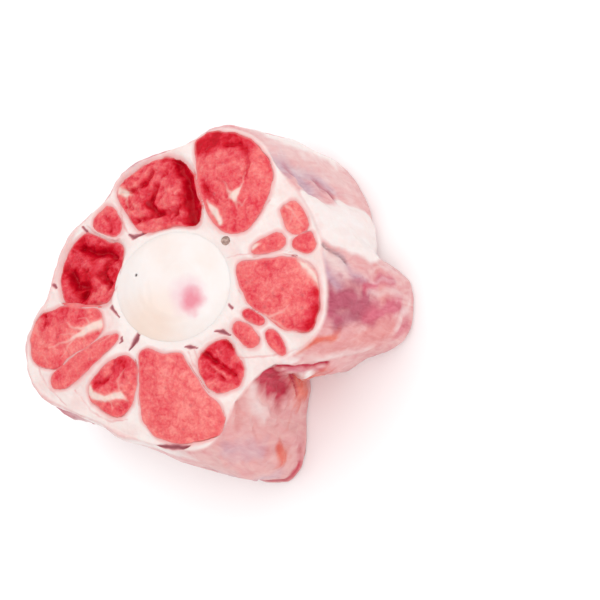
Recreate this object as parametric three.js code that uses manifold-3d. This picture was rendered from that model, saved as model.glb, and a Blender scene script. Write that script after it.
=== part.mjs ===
// One raw oxtail segment: a slice across a cow's tail, lying flat on its wider cut face.
// A vertebra runs up the middle, the tail's muscles run round it side by side, and a jacket of fat
// and connective tissue fills the space between them and wraps the outside.
// Units are millimetres, +Z is up, and the origin is at the centre of the bottom of the bounding box.

import * as THREE from 'three';
import { mergeVertices } from 'three/addons/utils/BufferGeometryUtils.js';
import Module from 'manifold-3d';

const wasm = await Module();
wasm.setup();

// Driving sizes of the whole segment
const height = 58; // from the lower cut to the upper cut
const farSpread = 1.12; // how much wider the lower cut is than the upper one
const farDrift = { x: 4, y: -4 }; // how far the lower cut lies off the upper one
const wallBulge = 1.8; // outward swell of the side at mid height
const faceFall = 2.6; // how far the upper cut's edge lies below its middle
const fit = 0.3; // free gap between one piece and the next
const skin = 2.3; // least thickness of the fat over a muscle
const press = 2.6; // how far below that depth a muscle begins to flatten
const edge = { upper: 1.5, lower: 0.9, level: 0.05 }; // rounding of the cut edges, over a share of the height
const channelReach = 12; // how far a cutting tool runs past each cut face
const weldReach = 1e-4; // vertices nearer than this are one

// Radius of the upper cut at every 15 degrees, from +X round towards +Y, about the bone's middle
const faceRim = [
  56, 56.5, 56, 54.5, 59, 57.5, 51, 48, 46.5, 44.5, 46.5, 48.5,
  51, 61.5, 65.5, 60, 55.5, 55, 56, 56, 47, 45.5, 50.5, 57,
];

// Swells (and, where negative, grooves) of the side, growing towards the lower cut or the upper one
const swells = [
  { at: 319, width: 11, rise: -19.2, end: 'lower' }, // the deep cleft below the right muscle
  { at: 339, width: 10, rise: -12.2, end: 'lower' }, // the right muscle's lower corner, which is undercut
  { at: 20, width: 5, rise: -5.3, end: 'lower' }, // the sharp hollow between the right muscle and the fat pad
  { at: 27, width: 11, rise: -8.7, end: 'lower' }, // the white fat pad, which draws in below
  { at: 66, width: 11, rise: -4, end: 'lower' },
  { at: 243, width: 28, rise: -10, end: 'lower' }, // the underside, which draws in
  { at: 287, width: 9, rise: 1.5, end: 'lower' }, // the lower flap
  { at: 302, width: 8, rise: -8, end: 'lower' },
  { at: 9, width: 4, rise: -2.5, end: 'upper' }, // creases of the skin between one muscle and the next
  { at: 86, width: 5, rise: -1.5, end: 'upper' },
  { at: 131, width: 4, rise: -1.2, end: 'upper' },
  { at: 184, width: 4, rise: -2, end: 'upper' },
];

// The muscles, as sectors of the ring round the bone, at the upper cut. at is the middle of the
// sector and half its half angle, in degrees. inner and outer are radii. lean turns the outer end on
// and the inner end back. pinch widens the outer end. square is the squareness of the corners, 2 for
// an oval. rise is how far the cut end stands above the fat, and dome how far it swells. pull draws
// the muscle towards the bone at the lower cut.
const muscles = [
  { name: 'muscle_top_round', at: 60, half: 20.6, inner: 26, outer: 56.8, lean: 9, square: 2.6, rise: 0.6,
    dome: 2.4 },
  { name: 'muscle_upper_left', at: 102, half: 25, inner: 21.5, outer: 45.5, lean: 6, pinch: -0.2, square: 3.4,
    rise: -2.2, dome: 1.2 },
  { name: 'muscle_left_small', at: 138.6, half: 6.2, inner: 29.5, outer: 41, square: 2.4, rise: -0.4,
    dome: 0.8 },
  { name: 'muscle_left_hollow', at: 168, half: 18.4, inner: 23.2, outer: 46, square: 3, rise: -3, dome: 0.9 },
  { name: 'muscle_lower_left', at: 198.6, half: 10.2, inner: 30, outer: 60, lean: -2, square: 3, rise: 0.4,
    dome: 1.8 },
  { name: 'muscle_lower_finger', at: 215, half: 4.6, inner: 26.5, outer: 57, square: 2.6, rise: 0.2,
    dome: 1.2 },
  { name: 'muscle_lower_mottled', at: 236, half: 11.4, inner: 28.5, outer: 49.5, pinch: 0.2, square: 2.6,
    rise: -0.2, dome: 1.2 },
  { name: 'muscle_bottom_large', at: 270, half: 19, inner: 23, outer: 52.5, lean: 10, pinch: -0.14, square: 4,
    rise: 0.6, dome: 1.2 },
  { name: 'muscle_bottom_dark', at: 304, half: 11, inner: 25.5, outer: 41.5, lean: 1, square: 2.8, rise: -2,
    dome: 1, pull: 0.86 },
  { name: 'muscle_slip_inner', at: 329.2, half: 5.3, inner: 26, outer: 37, lean: -1, square: 2.4, rise: 0,
    dome: 0.7, pull: 0.88 },
  { name: 'muscle_slip_middle', at: 340.2, half: 2.6, inner: 28, outer: 36, lean: -1, square: 2.2, rise: -0.4,
    dome: 0.4, pull: 0.94 },
  { name: 'muscle_slip_outer', at: 333, half: 2.7, inner: 39, outer: 47.5, lean: -1.5, square: 2.2,
    rise: -0.4, dome: 0.4, pull: 0.86 },
  { name: 'muscle_right_large', at: -1.4, half: 14.3, inner: 25.5, outer: 55, lean: -7, square: 3.2,
    rise: 0.8, dome: 1.6, pull: 0.9 },
  { name: 'muscle_right_wedge', at: 22, half: 4.2, inner: 32, outer: 44, lean: -1, pinch: 0.3, square: 2.4,
    rise: 0, dome: 0.7, pull: 0.8 },
  { name: 'muscle_right_bead', at: 17.2, half: 3.2, inner: 46.5, outer: 54, square: 2.5, rise: 0, dome: 0.8,
    pull: 0.8 },
  { name: 'muscle_right_upper', at: 27.9, half: 6.3, inner: 46, outer: 54.5, square: 2.5, rise: 0, dome: 0.8,
    pull: 0.8 },
];

// The vertebra: an oval spool whose upper end is a domed white joint disc. The disc's edge lies a
// little below the cut, and its middle rises above it.
const bone = {
  halfWidth: 22.2, halfDepth: 19.6, turn: 8, waist: 0.8, farSpread: 1.08,
  edgeDrop: 0.6, discRise: 2.6, discPower: 2.4,
};
// The spinal cord, in the fat beside the bone
const cord = { at: 38, out: 24.6, radius: 1.6 };

// Facets round each kind of piece
const sides = { jacket: 72, bone: 36, cord: 12, muscle: 28, smallMuscle: 14 };
const smallMuscle = 18; // a muscle no deeper than this has fewer sides

const rad = THREE.MathUtils.degToRad;
const lerp = THREE.MathUtils.lerp;

// Smooth closed curve through values at equal angles
function ringValue(values, angle) {
  const n = values.length;
  const place = ((angle / (2 * Math.PI)) * n % n + n) % n;
  const i = Math.floor(place);
  const t = place - i;
  const [a, b, c, d] = [-1, 0, 1, 2].map((k) => values[(i + k + n) % n]);
  return b + 0.5 * t * (c - a + t * (2 * a - 5 * b + 4 * c - d + t * (3 * (b - c) + d - a)));
}

// A bump of height 1 at an angle, in degrees, that fades over its width
function bump(angle, at, width) {
  const away = THREE.MathUtils.euclideanModulo(THREE.MathUtils.radToDeg(angle) - at + 180, 360) - 180;
  return Math.exp(-((away / width) ** 2));
}

// Turns a place beside the bone's axis at the upper cut into the place it has at a level, from 0 to 1
function follow(x, y, level) {
  const spread = lerp(farSpread, 1, level);
  return { x: x * spread + farDrift.x * (1 - level), y: y * spread + farDrift.y * (1 - level) };
}

// The same for a place in a muscle, which flattens where it comes near the skin
function seat(m, place, level) {
  const angle = Math.atan2(place.y, place.x);
  const wall = THREE.MathUtils.clamp(level, 0, 1);
  const start = rimRadius(angle, wall) - skin - press;
  let radius = Math.hypot(place.x, place.y) * lerp(m.pull ?? 1, 1, wall);
  if (radius > start) radius = start + press * (1 - Math.exp((start - radius) / press));
  return follow(radius * Math.cos(angle), radius * Math.sin(angle), level);
}

// Height of the upper cut over a place: highest round the bone, and falling towards the edge
function faceHeight(x, y) {
  const out = Math.hypot(x, y) / ringValue(faceRim, Math.atan2(y, x));
  return height - faceFall * out ** 4;
}

// Radius of the outer skin at a level
function rimRadius(angle, level) {
  let radius = ringValue(faceRim, angle) + wallBulge * Math.sin(Math.PI * level);
  for (const s of swells) {
    radius += s.rise * bump(angle, s.at, s.width) * (s.end === 'lower' ? 1 - level : level ** 2);
  }
  return radius;
}

// A closed solid of revolution, from a profile of [share of the radius, level], whose vertices are
// then each moved to place(angle, share, level)
function shapedBarrel(profile, segments, place) {
  const points = profile.map(([share, level]) => new THREE.Vector2(share, level));
  const lathe = new THREE.LatheGeometry(points, segments);
  const at = lathe.attributes.position;
  for (let i = 0; i < at.count; i += 1) {
    const share = Math.hypot(at.getX(i), at.getZ(i));
    const angle = Math.atan2(-at.getZ(i), at.getX(i));
    const p = place(share < weldReach ? 0 : angle, share, at.getY(i));
    at.setXYZ(i, p.x, p.y, p.z);
  }
  return weld(lathe);
}

// Merges shared vertices and drops the triangles that closed up at the poles
function weld(geometry) {
  geometry.deleteAttribute('normal');
  geometry.deleteAttribute('uv');
  const merged = mergeVertices(geometry, weldReach);
  const index = merged.index.array;
  const kept = [];
  for (let i = 0; i < index.length; i += 3) {
    const [a, b, c] = [index[i], index[i + 1], index[i + 2]];
    if (a !== b && b !== c && c !== a) kept.push(a, b, c);
  }
  merged.setIndex(kept);
  return merged;
}

function toManifold(geometry) {
  return new wasm.Manifold(new wasm.Mesh({
    numProp: 3,
    vertProperties: Float32Array.from(geometry.attributes.position.array),
    triVerts: Uint32Array.from(geometry.index.array),
  }));
}

function fromManifold(solid) {
  const mesh = solid.getMesh();
  const geometry = new THREE.BufferGeometry();
  geometry.setAttribute('position', new THREE.BufferAttribute(mesh.vertProperties, mesh.numProp));
  geometry.setIndex(new THREE.BufferAttribute(mesh.triVerts, 1));
  return geometry;
}

// Place on a muscle's cross section at the upper cut: share 0 is its middle and 1 its outline
function muscleSection(m, angle, share) {
  const power = 2 / m.square;
  const across = share * Math.sign(Math.cos(angle)) * Math.abs(Math.cos(angle)) ** power;
  const along = share * Math.sign(Math.sin(angle)) * Math.abs(Math.sin(angle)) ** power;
  const middle = (m.inner + m.outer) / 2;
  const radius = middle + along * (m.outer - m.inner) / 2;
  const half = rad(m.half) * (1 + (m.pinch ?? 0) * along);
  const turn = rad(m.at) + rad(m.lean ?? 0) * along - across * half;
  return { x: radius * Math.cos(turn), y: radius * Math.sin(turn) };
}

// Rings of a muscle, up its wall and in over its cut end
const wallLevels = [0.45, 0.86];
const capShares = [0.86, 0.5];

// A piece's profile: from the pole of the lower cut, out, up the wall and in to the pole of the upper cut
function pieceProfile(levels, shares) {
  return [[0, 0], [1, 0], ...levels.map((v) => [1, v]), [1, 1], ...shares.map((s) => [s, 1]), [0, 1]];
}

// The profile of the tool that cuts a piece's channel, which runs past both cuts
function toolProfile(levels) {
  const past = channelReach / height;
  const wall = [-past, 0, ...levels, 1, 1 + past];
  return [[0, -past], ...wall.map((v) => [1, v]), [0, 1 + past]];
}

function muscleSides(m) {
  return m.outer - m.inner > smallMuscle ? sides.muscle : sides.smallMuscle;
}

function muscleSolid(m) {
  return shapedBarrel(pieceProfile(wallLevels, capShares), muscleSides(m), (angle, share, level) => {
    const top = muscleSection(m, angle, share);
    const end = faceHeight(top.x, top.y) + m.rise + m.dome * (1 - share ** 3) - m.dome / 2;
    const z = level === 1 ? end : level * height;
    return { ...seat(m, top, z / height), z };
  });
}

// The tool that cuts a muscle's channel: the muscle's outline, moved outwards by the free gap
function muscleChannel(m) {
  const step = (2 * Math.PI) / muscleSides(m);
  return shapedBarrel(toolProfile(wallLevels), muscleSides(m), (angle, share, level) => {
    const here = seat(m, muscleSection(m, angle, share), level);
    const ahead = seat(m, muscleSection(m, angle + step, 1), level);
    const behind = seat(m, muscleSection(m, angle - step, 1), level);
    const out = new THREE.Vector2(ahead.y - behind.y, behind.x - ahead.x).setLength(share * fit);
    return { x: here.x + out.x, y: here.y + out.y, z: level * height };
  });
}

// Place on the bone's outline, widened by grow
function boneSection(angle, share, level, grow) {
  const between = THREE.MathUtils.clamp(level, 0, 1);
  const waist = 1 - (1 - bone.waist) * Math.sin(Math.PI * between) ** 2;
  const size = waist * lerp(bone.farSpread, 1, level);
  const x = (bone.halfWidth * size + grow) * share * Math.cos(angle);
  const y = (bone.halfDepth * size + grow) * share * Math.sin(angle);
  const c = Math.cos(rad(bone.turn));
  const s = Math.sin(rad(bone.turn));
  return { x: x * c - y * s + farDrift.x * (1 - level), y: x * s + y * c + farDrift.y * (1 - level) };
}

// Rings of the bone, up its waisted wall and in over the disc
const boneLevels = [0.14, 0.32, 0.5, 0.68, 0.86];
const discShares = [0.93, 0.75, 0.45];

function boneSolid() {
  return shapedBarrel(pieceProfile(boneLevels, discShares), sides.bone, (angle, share, level) => {
    const rise = bone.discRise * (1 - share ** bone.discPower) - bone.edgeDrop;
    return { ...boneSection(angle, share, level, 0), z: level * (height + rise) };
  });
}

function boneChannel() {
  return shapedBarrel(toolProfile(boneLevels), sides.bone, (angle, share, level) => ({
    ...boneSection(angle, share, level, fit), z: level * height,
  }));
}

const cordLevels = [0.5];

function cordPlace(angle, share, level, radius) {
  const middle = { x: cord.out * Math.cos(rad(cord.at)), y: cord.out * Math.sin(rad(cord.at)) };
  const x = middle.x + share * radius * Math.cos(angle);
  const y = middle.y + share * radius * Math.sin(angle);
  return follow(x, y, level);
}

function cordSolid() {
  return shapedBarrel(pieceProfile(cordLevels, []), sides.cord, (angle, share, level) => ({
    ...cordPlace(angle, share, level, cord.radius), z: level * height,
  }));
}

function cordChannel() {
  return shapedBarrel(toolProfile(cordLevels), sides.cord, (angle, share, level) => ({
    ...cordPlace(angle, share, level, cord.radius + fit), z: level * height,
  }));
}

// The jacket's profile: a flat foot, a rounded lower edge, the wall, a rounded upper rim and the cut
const jacketProfile = [
  [0, 0], [0.5, 0], [1, 0], [1, 0.03], [1, 0.14], [1, 0.3], [1, 0.46], [1, 0.62], [1, 0.78], [1, 0.9],
  [1, 0.955], [1, 0.985], [1, 1], [0.93, 1], [0.82, 1], [0.68, 1], [0.52, 1], [0.35, 1], [0, 1],
];

// How far the skin draws in at a level near either cut, so that both edges are round
function edgeInset(level) {
  const up = Math.max(0, 1 - (1 - level) / edge.level);
  const down = Math.max(0, 1 - level / edge.level);
  return edge.upper * (1 - Math.sqrt(1 - up * up)) + edge.lower * (1 - Math.sqrt(1 - down * down));
}

function jacketSolid() {
  const body = shapedBarrel(jacketProfile, sides.jacket, (angle, share, level) => {
    const radius = share * (rimRadius(angle, level) - edgeInset(level));
    const p = follow(radius * Math.cos(angle), radius * Math.sin(angle), level);
    const top = faceHeight(radius * Math.cos(angle), radius * Math.sin(angle));
    return { ...p, z: level * top };
  });
  let solid = toManifold(body);
  for (const m of muscles) solid = solid.subtract(toManifold(muscleChannel(m)));
  solid = solid.subtract(toManifold(boneChannel())).subtract(toManifold(cordChannel()));
  return fromManifold(solid);
}

const fat = new THREE.MeshStandardMaterial({ color: '#f3dcd4', roughness: 0.45, metalness: 0 });
const flesh = new THREE.MeshStandardMaterial({ color: '#d8404a', roughness: 0.35, metalness: 0 });
const darkFlesh = new THREE.MeshStandardMaterial({ color: '#b5102a', roughness: 0.3, metalness: 0 });
const cartilage = new THREE.MeshStandardMaterial({ color: '#f6efe6', roughness: 0.3, metalness: 0 });
const nerve = new THREE.MeshStandardMaterial({ color: '#d9cbbd', roughness: 0.4, metalness: 0 });

function named(name, geometry, material) {
  geometry.computeVertexNormals();
  const mesh = new THREE.Mesh(geometry, material);
  mesh.name = name;
  return mesh;
}

const segment = new THREE.Group();
segment.add(named('fat_jacket', jacketSolid(), fat));
segment.add(named('vertebra', boneSolid(), cartilage));
segment.add(named('spinal_cord', cordSolid(), nerve));
for (const m of muscles) {
  segment.add(named(m.name, muscleSolid(m), m.rise < -1 ? darkFlesh : flesh));
}

// Stands the middle of the bounding box over the origin
const box = new THREE.Box3().setFromObject(segment);
segment.position.set(-(box.min.x + box.max.x) / 2, -(box.min.y + box.max.y) / 2, -box.min.z);
segment.updateMatrixWorld(true);

export default segment;
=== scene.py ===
import itertools
import math

import bpy
import numpy as np
from mathutils import Matrix, Vector
from mathutils.bvhtree import BVHTree


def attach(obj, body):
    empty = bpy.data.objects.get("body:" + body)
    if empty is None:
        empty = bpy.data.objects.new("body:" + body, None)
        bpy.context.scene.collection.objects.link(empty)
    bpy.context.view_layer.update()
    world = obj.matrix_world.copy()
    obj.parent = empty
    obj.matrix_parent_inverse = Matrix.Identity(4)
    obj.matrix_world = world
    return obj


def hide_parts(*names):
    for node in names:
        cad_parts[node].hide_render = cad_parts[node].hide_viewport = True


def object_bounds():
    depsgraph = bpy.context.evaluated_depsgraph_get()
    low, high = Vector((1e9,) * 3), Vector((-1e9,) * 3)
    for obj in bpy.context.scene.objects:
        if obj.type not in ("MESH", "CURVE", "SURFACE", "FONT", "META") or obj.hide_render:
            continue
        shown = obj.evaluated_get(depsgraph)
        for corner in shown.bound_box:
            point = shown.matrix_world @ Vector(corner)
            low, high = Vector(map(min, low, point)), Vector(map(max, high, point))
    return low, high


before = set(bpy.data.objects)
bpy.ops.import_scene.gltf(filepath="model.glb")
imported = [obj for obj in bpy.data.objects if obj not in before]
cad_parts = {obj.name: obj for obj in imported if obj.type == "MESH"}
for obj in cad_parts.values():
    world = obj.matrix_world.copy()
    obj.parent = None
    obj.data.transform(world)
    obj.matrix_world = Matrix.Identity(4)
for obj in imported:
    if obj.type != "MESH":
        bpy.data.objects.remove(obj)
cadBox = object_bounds()

# All shaping is done in millimetres and written to the meshes in metres
segment = {
    "height": 58.0,  # of the cut face
    "faceFall": 2.6,  # how far the cut face drops towards its edge
    "boneTop": (-1.73, 3.83),  # the bone's middle at the upper cut
    "farDrift": (4.0, -4.0),  # how far the lower cut lies off the upper one
    "upperSlice": 50.0,  # where the outlines of the upper cut are measured
    "lowerSlice": 3.0,
    "discBulge": (-27.0, 4.0, 12.0, 1.5),  # of the joint disc's outline: x, y, reach, how far
    "cutsApart": 60.0,  # between the noise of the two cuts
    "wander": 0.75, "wanderSize": 9.0,  # of the outlines on the upper cut
    "edgeRound": 0.8,  # how far the upper cut's edge lies inside its slice
    "seed": 11,
}
muscleNodes = sorted(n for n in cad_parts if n.startswith("muscle_"))


# Small tools


def ease(low, high, value):  # 0 below low, 1 above high, smooth between
    share = np.clip((value - low) / (high - low), 0.0, 1.0)
    return share * share * (3.0 - 2.0 * share)


def hill(value, width):  # 1 at zero, fading over the width
    return np.exp(-((value / width) ** 2))


randomTable = np.random.default_rng(segment["seed"])
shuffle = randomTable.permutation(256)
slopes = randomTable.normal(size=(256, 3))
slopes /= np.linalg.norm(slopes, axis=1, keepdims=True)
jitter = randomTable.random((256, 3))


def pick(cell, seed):  # a fixed number from 0 to 255 for each lattice cell
    first = shuffle[(cell[:, 0] + 37 * seed) & 255]
    second = shuffle[(first + cell[:, 1]) & 255]
    return shuffle[(second + cell[:, 2]) & 255]


def noise(points, size, seed=0):  # smooth lumps of that size, from about -1 to 1
    place = points / np.asarray(size, float)
    cell = np.floor(place).astype(np.int64)
    part = place - cell
    fade = part**3 * (part * (part * 6 - 15) + 10)
    total = np.zeros(len(points))
    for corner in itertools.product((0, 1), repeat=3):
        corner = np.array(corner)
        slope = ((part - corner) * slopes[pick(cell + corner, seed)]).sum(1)
        total += slope * np.where(corner == 1, fade, 1 - fade).prod(1)
    return total * 1.7


def fractal(points, size, octaves=3, seed=0):
    total = np.zeros(len(points))
    for i in range(octaves):
        total += noise(points, np.asarray(size, float) / 2**i, seed + i) / 2**i
    return total


def sideways(points, size, seeds, octaves=1):  # how far places wander on a flat face, as x and y
    return np.column_stack([fractal(points, size, octaves, seed) for seed in seeds])


def onCut(xy, upper):  # where the noise of a cut face is read: flat, and apart for the two cuts
    return np.column_stack([xy, segment["cutsApart"] * upper])


def angleOf(away):  # in degrees, from 0 to 360
    return np.degrees(np.arctan2(away[:, 1], away[:, 0])) % 360


def lineDistance(xy, points):  # distance to a line of straight stretches
    best = np.full(len(xy), 1e9)
    for a, b in zip(points[:-1], points[1:]):
        a, b = np.array(a, float), np.array(b, float)
        side = b - a
        share = np.clip(((xy - a) @ side) / (side @ side), 0, 1)
        best = np.minimum(best, np.linalg.norm(xy - a - share[:, None] * side, axis=1))
    return best


def spotDistance(xy, spot):
    return np.hypot(xy[:, 0] - spot[0], xy[:, 1] - spot[1])


def cells(points, size, seed=0):  # distances to the two nearest of scattered points, in cells
    place = points / np.asarray(size, float)
    cell = np.floor(place).astype(np.int64)
    near = np.full(len(points), 9.0)
    second = near.copy()
    for corner in itertools.product((-1, 0, 1), repeat=3):
        spot = cell + np.array(corner)
        away = np.linalg.norm(place - spot - jitter[pick(spot, seed)], axis=1)
        second = np.minimum(second, np.maximum(near, away))
        near = np.minimum(near, away)
    return near, second


def columns(size):  # cells that run up through the face, so that they don't change with its relief
    return size, size, 50.0


def readVectors(items, name):
    flat = np.empty(len(items) * 3, np.float32)
    items.foreach_get(name, flat)
    return flat.reshape(-1, 3).astype(float)


def readPoints(piece):
    return readVectors(piece.data.vertices, "co") * 1000


def readNormals(piece):
    return readVectors(piece.data.vertex_normals, "vector")


def setPoints(piece, points):
    piece.data.vertices.foreach_set("co", (points / 1000).astype(np.float32).ravel())


def writePoints(piece, points):  # kept inside the CAD model's box
    low, high = (np.array(corner) * 1000 for corner in cadBox)
    setPoints(piece, np.clip(points, low, high))
    piece.data.update()


def writeField(piece, name, values):
    field = piece.data.attributes.new(name, "FLOAT", "POINT")
    field.data.foreach_set("value", np.asarray(values, np.float32))


def onlySelect(piece):
    bpy.ops.object.select_all(action="DESELECT")
    piece.select_set(True)
    bpy.context.view_layer.objects.active = piece


def applyModifier(piece, kind, **settings):
    onlySelect(piece)
    modifier = piece.modifiers.new(kind.title(), kind)
    for key, value in settings.items():
        setattr(modifier, key, value)
    bpy.ops.object.modifier_apply(modifier=modifier.name)


# Outlines of the pieces on the two cut faces


def discReach(xy):  # how much further out the joint disc reaches than its solid
    x, y, reach, out = segment["discBulge"]
    return out * hill(spotDistance(xy, (x, y)), reach)


def sliceLoop(node, height):  # the points of a CAD node's outline at a height, in no order
    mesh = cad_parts[node].data
    points = np.array([v.co for v in mesh.vertices]) * 1000
    sides = np.array([p.vertices[:] for p in mesh.polygons])
    corners = points[sides]
    found = []
    for i, j in ((0, 1), (1, 2), (2, 0)):
        a, b = corners[:, i], corners[:, j]
        crossing = (a[:, 2] - height) * (b[:, 2] - height) < 0
        a, b = a[crossing], b[crossing]
        share = (height - a[:, 2]) / (b[:, 2] - a[:, 2])
        found.append((a + share[:, None] * (b - a))[:, :2])
    return np.unique(np.concatenate(found).round(3), axis=0)


def ordered(loop):  # by the angle about its middle
    middle = (loop.min(0) + loop.max(0)) / 2
    away = loop - middle
    return loop[np.argsort(np.arctan2(away[:, 1], away[:, 0]))]


def rounded(loop, times=2):  # cuts the corners of a closed outline
    for _ in range(times):
        after = np.roll(loop, -1, 0)
        loop = np.stack([0.75 * loop + 0.25 * after, 0.25 * loop + 0.75 * after], 1).reshape(-1, 2)
    return loop


def boneMiddle(height):
    share = 1 - np.asarray(height) / segment["height"]
    return np.stack([segment["boneTop"][i] + segment["farDrift"][i] * share for i in (0, 1)], -1)


def skinLoop(height):  # the outermost points of the fat jacket's slice, by angle about the bone
    loop = sliceLoop("fat_jacket", height)
    away = loop - boneMiddle(height)
    angle = angleOf(away)
    radius = np.hypot(away[:, 0], away[:, 1])
    kept = []
    for step in range(0, 360, 5):
        near = np.abs((angle - step + 180) % 360 - 180) < 2.6
        kept.append(np.where(near)[0][np.argmax(radius[near])])
    return loop[kept]


def loopDistance(xy, loop, reach=9.0):  # signed distance to a closed outline, negative inside
    distance = np.full(len(xy), reach)
    close = ((xy > loop.min(0) - reach) & (xy < loop.max(0) + reach)).all(1)
    place = xy[close]
    best = np.full(len(place), 1e9)
    inside = np.zeros(len(place), bool)
    for a, b in zip(loop, np.roll(loop, -1, 0)):
        side = b - a
        share = np.clip(((place - a) @ side) / (side @ side), 0, 1)
        best = np.minimum(best, ((place - a - share[:, None] * side) ** 2).sum(1))
        spans = (a[1] > place[:, 1]) != (b[1] > place[:, 1])
        if a[1] != b[1]:
            inside ^= spans & (place[:, 0] < a[0] + (place[:, 1] - a[1]) * side[0] / side[1])
    best = np.sqrt(best)
    distance[close] = np.where(inside, -best, best)
    return distance


print("stage: outlines")
ends = {}
for end, height in (("upper", segment["upperSlice"]), ("lower", segment["lowerSlice"])):
    ends[end] = {node: rounded(ordered(sliceLoop(node, height))) for node in muscleNodes}
    ends[end]["vertebra"] = rounded(ordered(sliceLoop("vertebra", height)))
    ends[end]["spinal_cord"] = rounded(ordered(sliceLoop("spinal_cord", height)))
    ends[end]["skin"] = rounded(skinLoop(height))

skinAway = ends["upper"]["skin"] - np.array(segment["boneTop"])
skinAngle = angleOf(skinAway)
skinOrder = np.argsort(skinAngle)
skinAngle = skinAngle[skinOrder]
skinRadius = np.hypot(skinAway[:, 0], skinAway[:, 1])[skinOrder] - segment["edgeRound"]


def faceHeight(xy):  # height of the upper cut, which falls towards its edge
    away = xy - np.array(segment["boneTop"])
    rim = np.interp(angleOf(away), skinAngle, skinRadius, period=360)
    share = np.minimum(np.hypot(away[:, 0], away[:, 1]) / rim, 1.1)
    return segment["height"] - segment["faceFall"] * share**4


def stray(xy, seed=3):  # the small wandering of every outline on a cut face
    wandering = sideways(onCut(xy, np.zeros(len(xy))), segment["wanderSize"], (seed, seed + 5), 2)
    bone = loopDistance(xy, ends["upper"]["vertebra"])
    return wandering * segment["wander"] * ease(0.2, 3.0, bone)[:, None]


# The pieces, as fused and remeshed copies of the solids


def fusedCopy(name, nodes, grow, voxel, smoothing):
    parts = []
    for node in nodes:
        part = bpy.data.objects.new(name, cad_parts[node].data.copy())
        bpy.context.scene.collection.objects.link(part)
        onlySelect(part)
        bpy.ops.object.mode_set(mode="EDIT")
        bpy.ops.mesh.select_all(action="SELECT")
        bpy.ops.mesh.remove_doubles(threshold=1e-6)
        bpy.ops.object.mode_set(mode="OBJECT")
        setPoints(part, readPoints(part) + readNormals(part) * grow)
        parts.append(part)
    onlySelect(parts[0])
    for part in parts:
        part.select_set(True)
    if len(parts) > 1:
        bpy.ops.object.join()
    piece = parts[0]
    piece.name = name
    piece.data.name = name
    piece.data.materials.clear()
    applyModifier(piece, "REMESH", mode="VOXEL", voxel_size=voxel / 1000, use_smooth_shade=True)
    if smoothing:
        applyModifier(piece, "SMOOTH", factor=0.5, iterations=smoothing)
    return piece


def refine(piece, chosen):  # subdivides the faces that chosen picks by their middle and normal
    faces = piece.data.polygons
    wanted = chosen(readVectors(faces, "center") * 1000, readVectors(faces, "normal"))
    onlySelect(piece)
    bpy.ops.object.mode_set(mode="EDIT")
    bpy.ops.mesh.select_mode(type="FACE")
    bpy.ops.mesh.select_all(action="DESELECT")
    bpy.ops.object.mode_set(mode="OBJECT")
    piece.data.polygons.foreach_set("select", wanted)
    bpy.ops.object.mode_set(mode="EDIT")
    bpy.ops.mesh.subdivide(number_cuts=1, smoothness=0.0)
    bpy.ops.object.mode_set(mode="OBJECT")


def onCaps(middle, normal):  # the faces of the two cuts
    return np.abs(normal[:, 2]) > 0.5


# Muscles. Places are in mm on the upper cut. tone runs from 0, pale salmon, to 1, dark crimson, and
# rise is how far the muscle stands above the fat. torn is the depth of its ragged folds.
# stains are (x, y, reach, tone added), mounds (x, y, reach, height) and swells (x, y, reach, how far
# the outline bulges). folds are half their width, their depth, and the points that they run through.
# seams of fat are points with half the width there: (x, y, half).
muscleShape = {
    "voxel": 0.75, "smoothing": 2,
    "grow": 0.35, "under": 0.9,  # up to its outline, and on under the fat
    "bulgeBand": (42.0, 50.0),  # the bulges of the outline come in between these heights
    "thinBand": (8.0, 16.0), "thinner": 0.7,  # between the two bands it keeps back behind the side
    "edgeShare": 0.5,  # of the rise that is there at the outline already
    "edgeSlope": 0.45,  # of the face outside its outline
    "footHeight": 0.35, "footShare": 0.4,  # of the relief, on the lower cut
    # Spacing and depth of the grain's grooves, and their width as a share of the spacing
    "bundle": 4.6, "bundleDepth": 0.18, "bundleWidth": 0.12,
    "fascicle": 1.5, "fascicleDepth": 0.1, "fascicleWidth": 0.16,
    "bend": 1.2, "bendSize": 4.0,  # of the grain
    "rough": 0.28, "roughSize": 6.0,
    "ridge": 0.6, "ridgeSize": 5.0,  # of a torn face, where its torn is 1
    "ridgeFine": 0.35, "ridgeFineSize": 2.3,
    "ridgeDown": 0.45,  # how far a torn face sinks
    "fatRise": 0.2,  # of the seams
    # How the edges of mounds, stains and folds wander: how far, its size, and its seed
    "wobbles": [(0.8, 3.5, 72), (0.9, 3.0, 71), (0.5, 2.2, 82)],
    "seamBend": 0.5, "seamBendSize": 3.4,
}
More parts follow.
